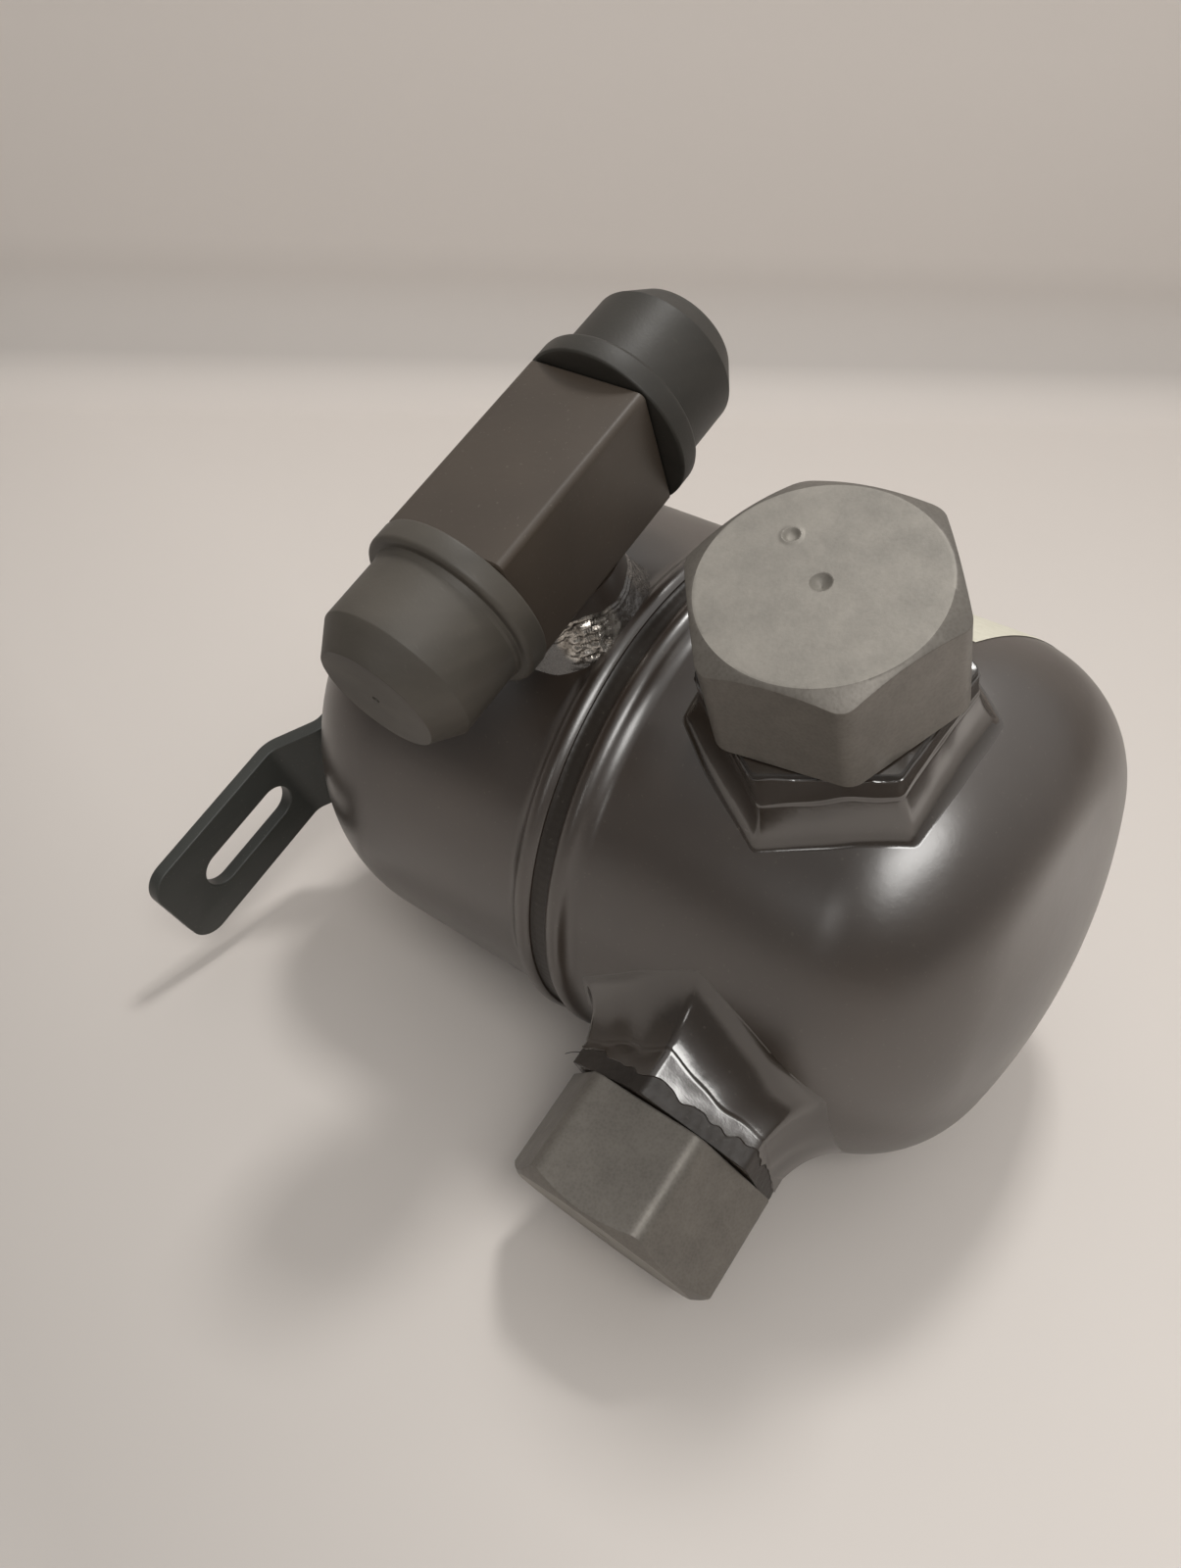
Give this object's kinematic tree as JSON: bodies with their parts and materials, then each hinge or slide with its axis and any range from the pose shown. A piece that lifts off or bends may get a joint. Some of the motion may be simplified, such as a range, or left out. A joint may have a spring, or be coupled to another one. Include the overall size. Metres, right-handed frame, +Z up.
{
  "type": "oil separator",
  "caption": "Black painted steel oil separator: welded two-cup vessel lying on its side, with hex-plugged ports, a capped cross block and a slotted mounting strip.",
  "frame": {"origin": "bottom centre of the whole part's box, on the surface that it lies on", "axes": "+X along the vessel axis towards the large cup, +Z up from the surface; the lower port points towards -Y and slightly down, the top port leans towards -Y by the same angle of 25.6 degrees"},
  "size_m": [0.204, 0.1684, 0.1843],
  "materials": {
    "vessel_paint": "glossy brown-black paint over drawn steel and welds",
    "plug_steel": "matte dark grey phosphated steel, turned face",
    "cap_plastic": "satin black moulded plastic",
    "seal_copper": "soft copper washer",
    "inner_steel": "plain steel, oily",
    "mesh_wire": "knitted steel wire",
    "pad_rubber": "matte black rubber"
  },
  "bodies": {
    "vessel": {"small_shell": "vessel_paint", "large_shell": "vessel_paint", "seam_weld": "vessel_paint", "top_boss": "vessel_paint", "top_boss_weld": "vessel_paint", "lower_boss": "vessel_paint", "lower_boss_weld": "vessel_paint", "port_block": "vessel_paint", "block_stub": "vessel_paint", "stub_weld": "vessel_paint", "bracket": "vessel_paint", "bracket_weld": "vessel_paint", "outlet_tube": "inner_steel", "inlet_deflector": "inner_steel", "front_screen": "inner_steel", "mesh_pad": "mesh_wire", "rear_screen": "inner_steel", "retaining_ring": "inner_steel", "oil_tube": "inner_steel", "valve_body": "inner_steel", "pivot_pin": "inner_steel"},
    "top_seal": {"top_seal": "seal_copper"},
    "top_plug": {"top_plug": "plug_steel"},
    "lower_seal": {"lower_seal": "seal_copper"},
    "lower_plug": {"lower_plug": "plug_steel"},
    "near_cap": {"near_cap": "cap_plastic"},
    "far_cap": {"far_cap": "cap_plastic"},
    "float": {"float_arm": "inner_steel", "float_ball": "inner_steel", "valve_pad": "pad_rubber"}
  },
  "joints": [
    {"name": "top_lift", "type": "slide", "parent": "vessel", "child": "top_seal", "axis": [0, -0.4328, 0.9015], "range_m": [0, 0.016]},
    {"name": "top_turn", "type": "hinge", "parent": "top_seal", "child": "top_plug", "pos_m": [0.04985, -0.02587, 0.15843], "axis": [0, -0.4328, 0.9015], "range_deg": [0, 2880]},
    {"name": "lower_lift", "type": "slide", "parent": "vessel", "child": "lower_seal", "axis": [0, -0.9015, -0.4328], "range_m": [0, 0.016]},
    {"name": "lower_turn", "type": "hinge", "parent": "lower_seal", "child": "lower_plug", "pos_m": [0.04735, -0.07424, 0.02073], "axis": [0, -0.9015, -0.4328], "range_deg": [0, 2880]},
    {"name": "near_cap_pull", "type": "slide", "parent": "vessel", "child": "near_cap", "axis": [0, -0.9015, -0.4328], "range_m": [0, 0.03]},
    {"name": "far_cap_pull", "type": "slide", "parent": "vessel", "child": "far_cap", "axis": [0, 0.9015, 0.4328], "range_m": [0, 0.03]},
    {"name": "float_swing", "type": "hinge", "parent": "vessel", "child": "float", "pos_m": [-0.07365, 0.00668, 0.09064], "axis": [0, -0.9015, -0.4328], "range_deg": [0, 28]}
  ],
  "couplings": [
    {"joint": "top_lift", "follows": "top_turn", "m_per_rad": 0.00031831},
    {"joint": "lower_lift", "follows": "lower_turn", "m_per_rad": 0.00031831}
  ]
}
